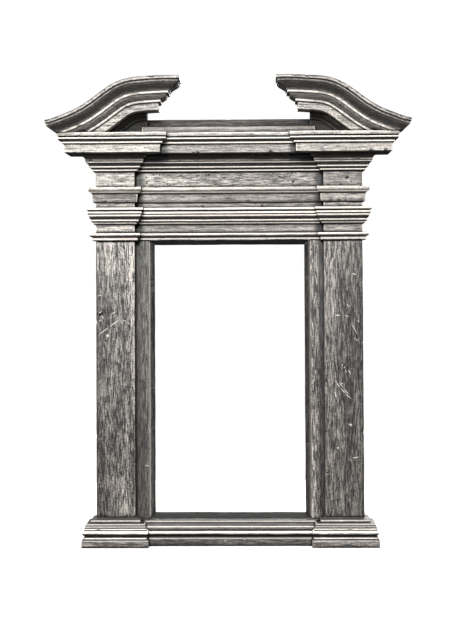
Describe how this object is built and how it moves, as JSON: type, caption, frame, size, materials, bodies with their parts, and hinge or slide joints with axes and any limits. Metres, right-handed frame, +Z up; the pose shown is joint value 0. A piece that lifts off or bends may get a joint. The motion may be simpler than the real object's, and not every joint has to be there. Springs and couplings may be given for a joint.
{
  "type": "tabernacle picture frame",
  "caption": "Architectural wood picture frame with plain pilasters, moulded bases, capitals and cornice, under an open swan-neck pediment.",
  "frame": {"origin": "centre of the bounding box's underside: midway across and midway front to back, at the height of the feet", "axes": "+Z up, the front faces -Y, +X to the viewer's right when facing the front; the flat back lies at +Y"},
  "size_m": [0.6778, 0.128, 0.882],
  "materials": {
    "back_frame": "old waxed walnut board, dull, vertical grain",
    "sight_edge": "dark rubbed walnut strip",
    "base": "worn walnut moulding with rubbed light edges",
    "pilaster": "aged walnut board, worm holes and scratches, satin wax",
    "entablature": "worn walnut mouldings, light on the edges and dark in the grooves",
    "cornice": "worn walnut mouldings, light faces with long horizontal grain",
    "pediment": "worn walnut mouldings that follow the curve, dark in the hollows",
    "attic": "plain old walnut board, rubbed edge"
  },
  "bodies": {
    "root": {"stile_left": "back_frame", "stile_right": "back_frame", "rail_bottom": "back_frame", "rail_top": "back_frame", "sight_edge_left": "sight_edge", "sight_edge_right": "sight_edge", "sight_edge_bottom": "sight_edge", "sight_edge_top": "sight_edge", "base_left": "base", "base_right": "base", "base_centre": "base", "pilaster_left": "pilaster", "pilaster_right": "pilaster", "astragal_left": "entablature", "astragal_right": "entablature", "astragal_centre": "entablature", "capital_left": "entablature", "capital_right": "entablature", "capital_centre": "entablature", "architrave_left": "entablature", "architrave_right": "entablature", "architrave_centre": "entablature", "frieze_left": "entablature", "frieze_right": "entablature", "frieze_centre": "entablature", "cornice_left": "cornice", "cornice_right": "cornice", "cornice_centre": "cornice", "raking_cornice_left": "pediment", "raking_cornice_right": "pediment", "raking_bed_left": "pediment", "raking_bed_right": "pediment", "raking_return_left": "pediment", "raking_return_right": "pediment", "tympanum_left": "pediment", "tympanum_right": "pediment", "attic_strip": "attic", "back_board": "attic"}
  },
  "joints": []
}
